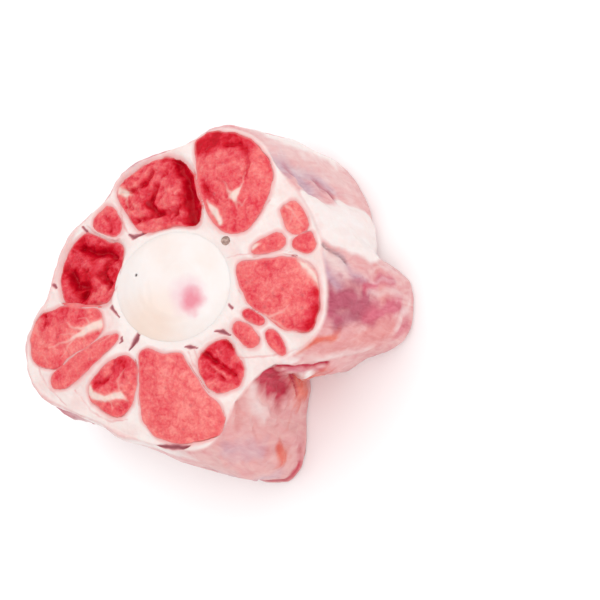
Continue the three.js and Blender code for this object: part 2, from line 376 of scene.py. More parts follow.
# How much of the tone each thing on a muscle's face adds or takes. torn and fold darken the valleys and
# grooves, partly the flesh's own crimson and partly painted shade, and mound pales the mound tops with
# painted light
toneShape = {
    "mottle": 0.08, "mottleTorn": 0.12, "mottleSize": 4.5,
    "cloud": 0.06, "cloudSize": 11.0,
    "bundle": 0.12, "torn": 0.34, "mound": 0.12,
    "fold": 0.3, "foldMost": 0.5,
}
muscleLooks = {
    "muscle_top_round": {
        "tone": 0.27, "rise": 0.15, "swell": 1.3, "torn": 0.4,
        "stains": [(6, 52, 4, 0.55), (12, 55, 4, 0.6), (19, 56, 4, 0.5), (25, 53, 3, 0.25),
                   (10, 36, 3.5, 0.35), (14, 45, 6, 0.1), (33, 45, 3, 0.15)],
        "mounds": [(28, 44, 6, 0.6), (13, 46, 5, 0.5)],
        "folds": [(0.9, 1.1, [(17, 52), (21, 52.5), (24, 50), (25.5, 45), (24.5, 41)]),
                  (0.9, 0.8, [(8.5, 40), (10, 36), (14, 32.5)]),
                  (0.6, 0.5, [(13.5, 40.5), (17, 39), (18, 34)])],
        "seams": [[(24, 39, 0.3), (22.5, 36.5, 0.8), (20.6, 34.3, 1.3), (21.6, 32, 0.5),
                   (22.5, 29.5, 0.2)],
                  [(16.5, 39.5, 0.2), (18.6, 36, 0.5), (20.6, 34.3, 0.8)],
                  [(10.5, 33, 0.5), (13.5, 29, 1.3), (16, 25.5, 1.0)],
                  [(24.5, 42.5, 0.1), (24, 39, 0.4)],
                  [(26, 33, 0.1), (24, 31, 0.3), (21.6, 32, 0.4)]],
    },
    "muscle_upper_left": {
        "tone": 0.43, "rise": -2.0, "swell": 1.0, "torn": 1.1,
        "stains": [(-1, 47, 4, 0.3), (2, 40, 3.5, 0.5), (4, 33, 3.5, 0.55), (5.5, 26, 3, 0.5),
                   (-12, 33, 2.5, 0.4)],
        "mounds": [(-6, 37, 4.5, 1.4), (-19, 42, 4, 1.2), (-16, 31, 4.5, 1.2), (-4, 26, 4, 0.9)],
        "folds": [(2.3, 2.4, [(-3, 48), (1.2, 41), (3, 34.5), (4.5, 28.5), (5.5, 24.5)]),
                  (1.2, 1.6, [(-10.5, 39), (-11.5, 35.5), (-12.5, 32.5), (-10, 30), (-2.5, 30)]),
                  (0.9, 1.3, [(-25, 38), (-19.5, 38.5), (-14.5, 41), (-13, 45)]),
                  (0.8, 0.9, [(-17, 27.5), (-12, 28.5), (-8.5, 29)])],
        "seams": [[(-26.5, 39, 1.3), (-23, 37, 1.0), (-20.5, 37, 0.3)],
                  [(-23, 37, 0.6), (-22, 33.5, 0.3), (-21, 30, 0.1)]],
        "swells": [(7, 23.5, 4, 1.6), (-17, 24, 6, 0.8), (-10, 49, 8, 1.0), (-23, 41, 5, 1.0)],
    },
    "muscle_left_small": {
        "tone": 0.38, "rise": -0.3, "swell": 0.6, "torn": 0.5,
        "folds": [(0.6, 0.7, [(-31, 30), (-28, 27), (-27.5, 24)])],
        "swells": [(-29, 30, 4, 0.6), (-35, 27, 5, 1.8)],
    },
    "muscle_left_hollow": {
        "tone": 0.52, "rise": -2.6, "swell": 0.6, "torn": 1.2,
        "stains": [(-36, 18, 4, 0.35), (-42, 7, 4, 0.35), (-29, 9, 3, 0.3), (-26, 17, 3, 0.2)],
        "mounds": [(-36.5, 12.5, 4.5, 1.6), (-33, 0.5, 4, 1.4), (-38, 22, 3, 0.9), (-27, 2, 3.5, 1)],
        "folds": [(1.4, 2.2, [(-40, 19), (-34.5, 16.5), (-30.5, 17), (-26, 15)]),
                  (1.6, 2.4, [(-44.5, 10), (-42, 5.5), (-37, 4.5), (-39, 1.5)]),
                  (1.1, 1.5, [(-29, 13), (-30.5, 9), (-27.5, 4.5)])],
        "swells": [(-23.5, 18.5, 4, 3.2), (-29, -3, 6, 2.0), (-43, -0.5, 6, 1.4), (-47, 14, 6, 0.8)],
    },
    "muscle_lower_left": {
        "tone": 0.2, "rise": 0.0, "swell": 0.7, "torn": 0.5,
        "stains": [(-53.5, -4, 2.5, 0.5), (-53, -9, 2, 0.35), (-46, -2, 4, 0.25), (-38, -4, 3, 0.25)],
        "folds": [(0.5, 0.7, [(-53.5, -3), (-53, -7.5), (-53.5, -10)]),
                  (0.4, 0.5, [(-46, -4), (-45, -8)])],
        "seams": [[(-29, -8, 1.6), (-33, -9.5, 1.5), (-37, -12, 0.9), (-44, -14.5, 0.5),
                   (-51, -16.5, 0.2)],
                  [(-35, -10, 0.8), (-40, -10, 0.5), (-43.5, -8, 0.25)],
                  [(-39, -13, 0.6), (-42, -11.5, 0.35), (-46, -12, 0.15)],
                  [(-33, -9, 0.6), (-36, -6.5, 0.35), (-39, -6, 0.15)],
                  [(-41, -14, 0.5), (-44, -17.5, 0.3), (-46, -20, 0.1)]],
        "swells": [(-54.5, -22, 5, 1.8), (-47.5, -25, 5, 2.8), (-44, -1, 7, 1.2), (-30, -4, 4, 1.0)],
    },
    "muscle_lower_finger": {
        "tone": 0.24, "rise": 0, "swell": 0.6, "torn": 0.4,
        "seams": [[(-24, -10.5, 0.5), (-29.5, -15, 0.15)]],
        "swells": [(-48, -30, 5, 1.6), (-46, -33, 4, -0.8)],
    },
    "muscle_lower_mottled": {
        "tone": 0.28, "rise": -0.2, "swell": 0.9, "torn": 0.7,
        "stains": [(-21, -22, 3, 0.4), (-30, -29, 3, 0.35), (-23, -27, 2.5, 0.25)],
        "folds": [(0.7, 0.8, [(-32, -29), (-28, -29), (-25, -26), (-24, -21)]),
                  (0.5, 0.6, [(-20, -22), (-20.5, -27)])],
        "seams": [[(-35, -30, 1.0), (-33, -33, 1.1), (-28, -34.6, 1.1), (-21.5, -33.5, 1.2),
                   (-18, -35, 0.3)],
                  [(-21.5, -33, 0.5), (-22.5, -29, 0.4), (-20, -24, 0.2)],
                  [(-25.5, -34, 0.5), (-25, -38, 0.3)]],
    },
    "muscle_bottom_large": {
        "tone": 0.17, "rise": 0.1, "swell": 0.6, "torn": 0.25,
        "stains": [(-13, -19, 3, 0.2), (-12, -28, 3, 0.12), (4, -40, 5, -0.06), (-8, -35, 4, 0.08)],
        "swells": [(16.5, -36, 4, 1.4), (-13, -17.5, 4, 1.8), (2, -19, 4, 1.4), (15, -47, 5, 0.4),
                   (-11, -42, 7, 1.6)],
    },
    "muscle_bottom_dark": {
        "tone": 0.38, "rise": -1.5, "swell": 0.9, "torn": 0.9,
        "stains": [(11, -20, 3, 0.4), (17.5, -14, 4, 0.45), (22, -24, 3, 0.15)],
        "folds": [(0.9, 1.4, [(10.5, -19), (15.5, -23), (21.5, -26.5)]),
                  (0.7, 0.9, [(12.5, -24), (17.5, -28)]),
                  (0.8, 1.0, [(18, -13), (20.5, -17), (24, -20)])],
        "swells": [(18.5, -14.5, 4.5, 2.4), (9.5, -21, 5, 1.6), (13, -28, 6, 1.8),
                   (27.5, -27, 6, -1.3)],
    },
    "muscle_slip_inner": {"tone": 0.25, "rise": 0, "swell": 0.5, "torn": 0.25},
    "muscle_slip_middle": {
        "tone": 0.4, "rise": -0.3, "swell": 0.3, "torn": 0.3,
        "swells": [(26.5, -5.5, 3, 1.0)],
    },
    "muscle_slip_outer": {
        "tone": 0.38, "rise": -0.3, "swell": 0.3, "torn": 0.3,
        "swells": [(36, -13, 4, 0.9)],
    },
    "muscle_right_large": {
        "tone": 0.22, "rise": 0.15, "swell": 0.8, "torn": 0.25,
        "stains": [(52, 0, 3, 0.42), (51.5, -6, 3.5, 0.56), (49, -11, 3, 0.48)],
        "seams": [[(43, 14, 0.8), (47.5, 10.5, 1.8), (51, 7, 2.0), (54, 2, 1.2), (54, -3, 0.3)],
                  [(24, -3.5, 0.7), (28, -6, 0.7), (33, -7.5, 0.6), (37, -6.8, 0.5), (40, -5.5, 0.4),
                   (42, -3, 0.1)],
                  [(33, -7, 0.6), (37.5, -9.5, 0.5), (43, -13, 0.4)],
                  [(37, -6.8, 0.4), (36.5, -9, 0.3), (35.5, -11, 0.2)],
                  [(38.5, -6, 0.3), (38, -3.5, 0.1)]],
        "swells": [(22.5, 11, 4, 1.8), (23, 5, 4, 0.8), (31, -3, 7, 1.5), (38.5, -9, 6, 1.6),
                   (54, -3, 8, -1.1), (47, -14, 5, -1.4)],
    },
    "muscle_right_wedge": {
        "tone": 0.22, "rise": 0, "swell": 0.5, "torn": 0.3,
        "seams": [[(26, 16, 1.2), (29, 17, 0.9), (31.5, 17.5, 0.2)]],
    },
    "muscle_right_bead": {
        "tone": 0.26, "rise": 0, "swell": 0.6, "torn": 0.3,
        "swells": [(48, 14.5, 3, 1.2)],
    },
    "muscle_right_upper": {
        "tone": 0.14, "rise": 0, "swell": 0.7, "torn": 0.4,
        "seams": [[(39, 31, 0.5), (42, 28, 0.45), (44, 25.5, 0.35), (46, 23, 0.3)],
                  [(42, 28, 0.4), (41, 24.5, 0.2)],
                  [(44, 25.5, 0.3), (46.5, 26.5, 0.15)]],
        "swells": [(42, 23, 4, 0.8)],
    },
}


def seamShare(xy, points, thin=1.0):  # 1 on a line and 0 off it; thin is the share where it is narrow
    share = np.zeros(len(xy))
    for a, b in zip(points[:-1], points[1:]):
        start = np.array(a[:2], float)
        side = np.array(b[:2], float) - start
        along = np.clip(((xy - start) @ side) / (side @ side), 0, 1)
        away = np.linalg.norm(xy - start - along[:, None] * side, axis=1)
        half = a[2] + along * (b[2] - a[2])
        strength = thin + (1 - thin) * ease(0.2, 1.1, half)
        share = np.maximum(share, ease(1.9, 0.2, away / half) * strength)
    return share


def outlineDistance(node, moved, end):  # to a muscle's outline with its bulges, negative inside
    distance = loopDistance(moved, ends[end][node]) - muscleShape["grow"]
    if end == "upper":
        for x, y, reach, out in muscleLooks[node].get("swells", []):
            distance -= out * hill(spotDistance(moved, (x, y)), reach)
    return distance


def makeMuscle(node, looks):
    piece = fusedCopy(node + ".flesh", [node], muscleShape["grow"] + muscleShape["under"],
                      muscleShape["voxel"], muscleShape["smoothing"])
    points, normals = readPoints(piece), readNormals(piece)
    upwards = ease(*muscleShape["bulgeBand"], points[:, 2])
    for x, y, reach, out in looks.get("swells", []):
        swell = upwards * out * hill(spotDistance(points, (x, y)), reach)
        points[:, :2] += normals[:, :2] * swell[:, None]
    inMiddle = (1 - upwards) * ease(*muscleShape["thinBand"], points[:, 2])
    points[:, :2] -= normals[:, :2] * muscleShape["thinner"] * inMiddle[:, None] + stray(points[:, :2])
    setPoints(piece, points)
    refine(piece, onCaps)

    points, normals = readPoints(piece), readNormals(piece)
    xy = points[:, :2]
    upper = points[:, 2] > segment["height"] / 2
    cap = ease(0.2, 0.6, np.abs(normals[:, 2]))
    moved = xy + stray(xy)
    outlines = [outlineDistance(node, moved, end) for end in ("upper", "lower")]
    inside = -np.where(upper, *outlines)
    share = np.clip(inside / max(inside[upper].max(), 1.0), 0, 1)
    flat = onCut(xy, upper)

    # The grain: bundles and their finer fascicles, and ragged ridges where the face is torn
    bent = flat.copy()
    bent[:, :2] += sideways(flat, muscleShape["bendSize"], (21, 22)) * muscleShape["bend"]
    near, second = cells(bent, columns(muscleShape["fascicle"]), 31)
    grainGroove = hill(second - near, muscleShape["fascicleWidth"])
    near, second = cells(bent, columns(muscleShape["bundle"]), 41)
    bundleGroove = hill(second - near, muscleShape["bundleWidth"])
    ridge = 1 - 2 * np.abs(noise(bent, muscleShape["ridgeSize"], 51))
    ridgeFine = 1 - 2 * np.abs(noise(bent, muscleShape["ridgeFineSize"], 52))
    torn = looks["torn"]

    # The tone and the relief of the face go together: what is torn or folded down is darker, partly the
    # flesh's own crimson and partly painted shade, and the mound tops are paler, painted light
    mottle = toneShape["mottle"] + toneShape["mottleTorn"] * torn
    tone = looks["tone"] + mottle * fractal(flat, toneShape["mottleSize"], 3, 91)
    tone += toneShape["cloud"] * noise(flat, toneShape["cloudSize"], 95)
    tone += toneShape["bundle"] * bundleGroove * (0.4 + noise(flat, 7.0, 96)).clip(0, 1)
    relief = looks["swell"] * (1 - (1 - share) ** 2)
    relief += (1 - muscleShape["edgeShare"]) * looks["rise"] * ease(0, 4, inside)
    relief += muscleShape["rough"] * fractal(flat, muscleShape["roughSize"], 4, 61)
    relief -= muscleShape["fascicleDepth"] * grainGroove + muscleShape["bundleDepth"] * bundleGroove
    ridges = muscleShape["ridge"] * ridge + muscleShape["ridgeFine"] * ridgeFine
    ragged = torn * (ridges - muscleShape["ridgeDown"])
    relief += ragged
    # Darker in the torn valleys and paler on the ridges: partly the flesh's own colour, partly painted
    # shade and light
    tone += toneShape["torn"] * torn * (ease(0.25, -1.0, ragged / torn) - 0.3)
    wobbles = muscleShape["wobbles"]
    moundEdge, stainEdge, foldEdge = (far * noise(flat, size, seed) for far, size, seed in wobbles)
    for x, y, reach, height in looks.get("mounds", []):
        lump = hill(spotDistance(xy, (x, y)) + moundEdge, reach)
        relief += height * lump
        # Paler on the mound's top: painted light
        tone -= toneShape["mound"] * lump
    for x, y, reach, more in looks.get("stains", []):
        tone += more * hill(spotDistance(xy, (x, y)) + stainEdge, reach) * upper
    for half, depth, line in looks.get("folds", []):
        groove = hill(lineDistance(xy, line) + foldEdge, half) * upper
        relief -= depth * groove
        # Darker along the fold's groove, the more the deeper it is: partly the flesh's own crimson,
        # partly painted shade
        tone += min(toneShape["fold"] * depth, toneShape["foldMost"]) * groove
    fat = np.zeros(len(xy))
    bend = muscleShape["seamBend"] * sideways(flat, muscleShape["seamBendSize"], (81, 85), 2)
    for line in looks.get("seams", []):
        fat = np.maximum(fat, seamShare(xy + bend, line, 0.3) * upper)
    relief = (relief + muscleShape["fatRise"] * fat) * ease(-0.3, 1.6, inside)

    # Both faces move to their heights, the lower one with a fainter relief, and the side stays
    top = faceHeight(xy) + muscleShape["edgeShare"] * looks["rise"] + relief
    top += muscleShape["edgeSlope"] * np.minimum(inside, 0)
    foot = muscleShape["footHeight"] - muscleShape["footShare"] * relief.clip(-0.8, 0.8)
    points[:, 2] += (np.where(upper, top, foot.clip(0.0)) - points[:, 2]) * cap
    points[:, 2] = np.maximum(points[:, 2], 0.0)
    writePoints(piece, points)
    writeField(piece, "tone", np.clip(tone, 0, 1.4))
    writeField(piece, "fat", fat)
    writeField(piece, "rim", np.where(cap > 0.3, hill(np.maximum(inside, 0), 0.6), 1.0))
    return piece


print("stage: muscles")
fleshPieces = []
for node, looks in muscleLooks.items():
    piece = makeMuscle(node, looks)
    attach(piece, "root")
    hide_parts(node)
    fleshPieces.append(piece)


# Fat, fascia and skin, in one body. On the side, at is the angle about the bone in degrees, and level
# the share of the height.

wallRadius = 55.0  # of the side, where the places of strokes are turned to mm
bodyShape = {
    "grow": 0.35, "voxel": 0.85, "smoothing": 8,
    "lip": 0.08,  # of fat along a muscle's outline
    "collar": 57.75, "collarSlope": 0.15,  # height of the fat where it meets the joint disc
    "lobule": 3.8, "lobuleDepth": 0.1, "lobuleWidth": 0.14,  # width as a share of the spacing
    "wave": 0.6, "waveSize": 13.0,
    "grain": 0.18, "grainSize": 3.2,
    "upperEdge": (0.9, 2.0), "lowerEdge": (0.7, 1.6),  # each cut comes in this far inside its outline
    # The fat drops away between these distances from the outlines of the bone, the cord and a muscle
    "boneHole": (-1.7, -2.4), "cordHole": (-0.9, -1.4), "muscleHole": (-0.3, -0.9),
    "channelDrop": 5.0, "footDrop": 1.5,  # how far it drops, on the upper and the lower cut
    "footHeight": 0.35, "footShare": 0.5,  # of the relief, on the lower cut
    "lump": 0.8, "lumpSize": 17.0,  # of the side, and more on the hidden ones
    "pucker": 0.25, "puckerSize": 6.5,
    "streak": 0.2, "streakSize": 2.8, "streakLength": 5.0,  # the length as so many times the size
    "streakBend": 1.5, "streakBendSize": 14.0,
    "fray": 0.45, "fraySize": 5.0,  # of the strokes' edges
    "strokeWander": 2.0, "strokeWanderSize": 9.0,
    "markWander": 0.3, "markWanderSize": 1.6,
    "septumDepth": 0.1,
    "coverReach": 9.0,  # how deep the muscles under the side are looked for
    "leastCover": 1.5,  # of the side over a muscle's solid
    "lowerBelow": 5.0,  # where the lower cut begins
}
# Strokes on the side: the colour that they carry, half their width and their rise in mm, how strong the
# colour is, and their points as (angle, level). A stroke with no colour is a fold alone.
wallStrokes = [
    ("pale", 9.0, 0.0, 1.0, [(303, 0.9), (297, 0.7), (290, 0.4), (284, 0.2)]),
    ("pale", 7.0, 0.0, 0.8, [(285, 0.85), (276, 0.6), (270, 0.4)]),
    ("rose", 5.5, 0.0, 0.9, [(338, 0.80), (343, 0.60), (349, 0.30)]),
    ("rose", 4.0, 0.0, 0.8, [(352, 0.40), (0, 0.40), (10, 0.45)]),
    ("white", 2.8, 0.7, 1.0, [(63, 0.84), (60, 0.67), (57, 0.46), (56, 0.23)]),
    ("grey", 4.2, -1.6, 1.0, [(50, 0.95), (46, 0.85), (42, 0.80), (37, 0.84)]),
    ("grey", 3.2, -0.5, 0.7, [(45, 0.74), (43, 0.62), (41, 0.52)]),
    ("plum", 1.8, -0.3, 0.5, [(48, 0.88), (44, 0.84)]),
    ("plum", 2.2, -0.7, 0.6, [(41, 0.64), (38, 0.58), (36, 0.56)]),
    ("plum", 1.3, -0.5, 0.8, [(38, 0.58), (35, 0.55), (33, 0.54)]),
    ("rose", 2.6, 0.0, 0.6, [(51, 0.40), (47, 0.28), (40, 0.24)]),
    ("milky", 8.0, 0.0, 0.42, [(57, 0.92), (52, 0.62), (47, 0.32)]),
    ("milky", 3.0, 0.0, 0.7, [(13, 0.97), (9, 0.88), (6, 0.80)]),
    ("white", 4.5, 0.0, 0.9, [(205, 0.86), (225, 0.86), (250, 0.88), (268, 0.92)]),
    ("shade", 0.8, -1.1, 0.5, [(14, 0.95), (12, 0.85), (8, 0.73)]),
    ("grey", 3.0, 0.0, 0.9, [(10, 0.98), (5, 0.95), (1, 0.89)]),
    ("grey", 2.2, 0.3, 0.7, [(9, 0.80), (5, 0.70), (4, 0.60)]),
    ("plum", 5.0, 0.3, 1.0, [(355, 0.94), (356, 0.80), (356, 0.62)]),
    ("plum", 2.6, 0.0, 0.8, [(350, 0.96), (350, 0.83), (353, 0.62)]),
    ("magenta", 2.4, 0.3, 1.0, [(353, 0.60), (356, 0.44), (0, 0.22)]),
    ("magenta", 2.0, 0.2, 0.8, [(2, 0.62), (6, 0.46), (7, 0.28)]),
    ("white", 1.0, 0.5, 0.3, [(0, 0.60), (2, 0.44), (4, 0.22), (3, 0.10)]),
    ("white", 0.9, 0.4, 0.3, [(5, 0.56), (6, 0.40), (8, 0.20)]),
    ("white", 0.9, 0.4, 0.3, [(9, 0.55), (11, 0.40), (12, 0.20)]),
    ("white", 1.3, 0.6, 0.5, [(3, 0.06), (357, 0.20), (352, 0.22)]),
    ("magenta", 2.0, 0.2, 0.6, [(356, 0.10), (352, 0.18)]),
    ("grey", 1.6, -0.4, 0.5, [(350, 0.86), (350, 0.78), (352, 0.68)]),
    ("amber", 1.9, 0.5, 0.9, [(335, 0.97), (339, 0.93), (344, 0.82)]),
    ("white", 2.2, 0.5, 0.9, [(322, 1.0), (326, 0.98), (331, 0.93)]),
    ("white", 2.0, 0.4, 0.5, [(333, 0.85), (337, 0.6), (343, 0.3)]),
    # Crimson of the cleft: partly blood and partly painted shade of the deep cleft between flap and wall
    ("bloodAndShade", 5.2, -1.9, 1.0, [(319, 0.96), (317, 0.86), (314, 0.68), (311, 0.52)]),
    ("amber", 6.0, 1.0, 1.0, [(323, 0.50), (318, 0.36), (312, 0.20)]),
    # A dark red line down the flap's right edge: partly blood and partly painted shade of the crease
    # there
    ("bloodAndShade", 0.8, -1.4, 0.8, [(323, 0.72), (317, 0.46), (310, 0.30)]),
    ("white", 0.9, 0.8, 0.6, [(325, 0.66), (321, 0.55), (320, 0.45)]),
    ("magenta", 1.6, -0.3, 0.8, [(326, 0.84), (327, 0.70), (328, 0.57)]),
    ("amber", 1.6, 0.9, 0.9, [(324, 0.62), (322, 0.46), (318, 0.3)]),
    # Painted shadow: a dark red line under the white edge of the wall, running down into the cleft
    ("bloodAndShade", 1.0, -1.2, 1.0, [(323, 0.95), (327, 0.90), (330, 0.74), (332, 0.58)]),
    ("rose", 1.2, -0.9, 0.7, [(321, 0.60), (318, 0.42), (314, 0.28)]),
    ("white", 1.6, 0.5, 0.9, [(326, 0.62), (324, 0.55)]),
    ("rose", 1.4, -1.0, 0.5, [(301, 0.97), (299, 0.90), (295, 0.84)]),
    ("rose", 1.3, -0.9, 0.6, [(295, 0.70), (292, 0.58), (291, 0.5)]),
    (None, 1.4, 1.0, 1.0, [(298, 0.85), (294, 0.70), (290, 0.45), (290, 0.3)]),
    (None, 1.3, 0.9, 1.0, [(304, 0.82), (302, 0.62), (299, 0.42), (296, 0.2)]),
    (None, 1.2, -0.8, 1.0, [(300, 0.60), (298, 0.42), (293, 0.24)]),
    (None, 1.4, 0.9, 1.0, [(283, 0.80), (281, 0.55), (281, 0.3)]),
    ("grey", 3.0, 0.0, 0.5, [(287, 0.83), (289, 0.69), (291, 0.55)]),
    ("grey", 3.0, 0.0, 0.6, [(272, 0.50), (280, 0.32), (286, 0.24)]),
    ("amber", 2.2, 0.5, 0.9, [(293, 0.36), (291, 0.26)]),
    ("bloodAndShade", 1.4, -0.3, 0.5, [(268, 0.52), (274, 0.34), (280, 0.14)]),
    # Dark red along the flap's lower edge: partly blood and partly painted shade where the edge turns
    # under
    ("bloodAndShade", 2.2, -0.4, 0.7, [(278, 0.13), (284, 0.09), (291, 0.08)]),
    ("white", 2.4, 0.4, 0.5, [(309, 0.92), (304, 0.84), (300, 0.62)]),
]
# The white fat pad on the right, as an outline of (angle, level), and how far it swells
wallPad = {
    "outline": [(38, 0.99), (34, 0.88), (32, 0.68), (37, 0.42), (38, 0.02), (20, 0.02), (15, 0.30),
                (10, 0.58), (12, 0.70), (14, 0.90), (17, 0.99)],
    "rise": 2.0,
}
# The sides that the photo hides get strokes of the same kinds, drawn at random. The kinds are the colour,
# half the width and the rise.
hiddenSide = {"from": 92, "to": 262, "strokes": 40, "seed": 8, "swell": 1.1}
strokeKinds = [("milky", 6.5, 0.7), ("plum", 3.6, 0.3), ("white", 4.5, 0.9), ("rose", 5.0, -0.6),
               ("grey", 4.0, -0.7), ("milky", 3.0, 0.9), ("magenta", 2.6, 0.2), ("milky", 1.9, 0.5),
               (None, 1.6, -1.1), (None, 2.2, 1.2)]
draw = np.random.default_rng(hiddenSide["seed"])
for i in range(hiddenSide["strokes"]):
    colour, half, rise = strokeKinds[i % len(strokeKinds)]
    at = draw.uniform(hiddenSide["from"], hiddenSide["to"])
    low = draw.uniform(0.0, 0.9)
    length = draw.uniform(0.2, 0.7) * (1 if low < 0.45 else -1)
    bends = draw.uniform(-11, 11, 3).cumsum()
    line = [(at + bend, low + length * share) for bend, share in zip(bends, (0.0, 0.5, 1.0))]
    half *= draw.uniform(0.6, 1.3)
    wallStrokes.append((colour, half, rise, draw.uniform(0.4, 0.9), line))
# Dark marks of vessels and slits on the upper cut, their darkness partly the vessels' blood and partly
# painted shade in the slits: their depth, and their points (x, y, half the width)
bloodMarks = [
    (0.4, [(-50.6, 5.9, 0.4), (-50.0, 4.9, 0.4)]),
    (0.4, [(-40.0, 26.3, 0.3), (-38.6, 25.0, 0.5), (-38.0, 23.6, 0.2)]),
    (0.6, [(-20.0, 22.6, 0.2), (-18.0, 21.6, 0.75), (-15.6, 22.4, 0.6), (-13.2, 23.4, 0.15)]),
    (0.3, [(8.6, 41.4, 0.2), (9.0, 39.6, 0.5), (10.0, 36.8, 0.2)]),
    (0.3, [(11.9, 31.8, 0.3), (11.5, 30.4, 0.35)]),
    (0.7, [(-14.6, -12.2, 0.6), (-16.2, -15.0, 0.75), (-18.2, -17.6, 0.2)]),
    (0.4, [(-25.8, -2.6, 0.5), (-24.2, -4.4, 0.4), (-22.6, -6.4, 0.15)]),
    (0.3, [(-21.6, -13.4, 0.3), (-21.2, -14.6, 0.35), (-22.2, -15.4, 0.15)]),
    (0.4, [(3.4, -17.0, 0.2), (5.2, -17.1, 0.6), (8.0, -17.4, 0.2)]),
    (0.4, [(14.6, -11.8, 0.2), (17.2, -12.0, 0.6), (20.4, -13.4, 0.2)]),
    (0.3, [(19.6, -3.0, 0.35), (21.0, -4.2, 0.4)]),
    (0.3, [(-29.6, -37.0, 0.25), (-28.8, -37.7, 0.35)]),
    (0.3, [(42.2, 13.2, 0.2), (43.8, 13.0, 0.3)]),
    (1.0, [(-8.6, -50.8, 0.1), (-4.6, -50.9, 0.6), (-1.0, -51.1, 0.95), (2.2, -51.1, 0.7),
           (5.4, -50.8, 0.1)]),
]
# Thin reddish membranes in the cut fat, as points of the same kind
septa = [
    [(4.6, -18.6, 0.3), (7.2, -23.6, 0.3), (11.0, -28.4, 0.35), (16.6, -32.0, 0.2)],
    [(6.8, -18.0, 0.3), (9.2, -22.9, 0.25), (13.0, -27.4, 0.3), (17.0, -30.2, 0.2)],
    [(24.6, 23.4, 0.3), (29.6, 27.4, 0.4), (33.6, 32.6, 0.25)],
    [(-38.0, 27.0, 0.3), (-32.0, 22.0, 0.3), (-27.0, 20.4, 0.3), (-23.6, 21.2, 0.25)],
    [(-26.4, 38.6, 0.3), (-24.4, 32.0, 0.3), (-22.0, 25.6, 0.35), (-19.6, 21.2, 0.2)],
    [(18.0, 13.0, 0.2), (27.0, 14.6, 0.3), (36.0, 15.2, 0.3), (43.0, 14.6, 0.2)],
    [(-40.0, -31.5, 0.3), (-34.0, -38.5, 0.3), (-26.0, -42.6, 0.3), (-19.0, -42.0, 0.2)],
    [(21.6, -21.0, 0.2), (30.2, -20.6, 0.35), (38.6, -20.0, 0.35), (46.0, -17.4, 0.2)],
    [(-57.0, -14.0, 0.2), (-56.5, -22.0, 0.35), (-52.0, -30.0, 0.35), (-44.0, -37.0, 0.2)],
]


def muscleShell():  # every muscle's solid together, to measure how thick the fat over it is
    points, sides, start = [], [], 0
    for node in muscleNodes:
        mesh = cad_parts[node].data
        points += [v.co.copy() for v in mesh.vertices]
        sides += [[start + i for i in p.vertices] for p in mesh.polygons]
        start += len(mesh.vertices)
    return points, sides


def cutFields(xy, end):  # how far the nearest muscle, the bone and the cord are, and that muscle's rise
    moved = xy + stray(xy)
    away = np.column_stack([outlineDistance(node, moved, end) for node in muscleNodes])
    rises = np.array([muscleLooks[node]["rise"] for node in muscleNodes])
    bone = loopDistance(xy, ends[end]["vertebra"]) - (discReach(xy) if end == "upper" else 0)
    return {"near": away.min(1), "rise": rises[away.argmin(1)], "bone": bone,
            "cord": loopDistance(xy, ends[end]["spinal_cord"])}


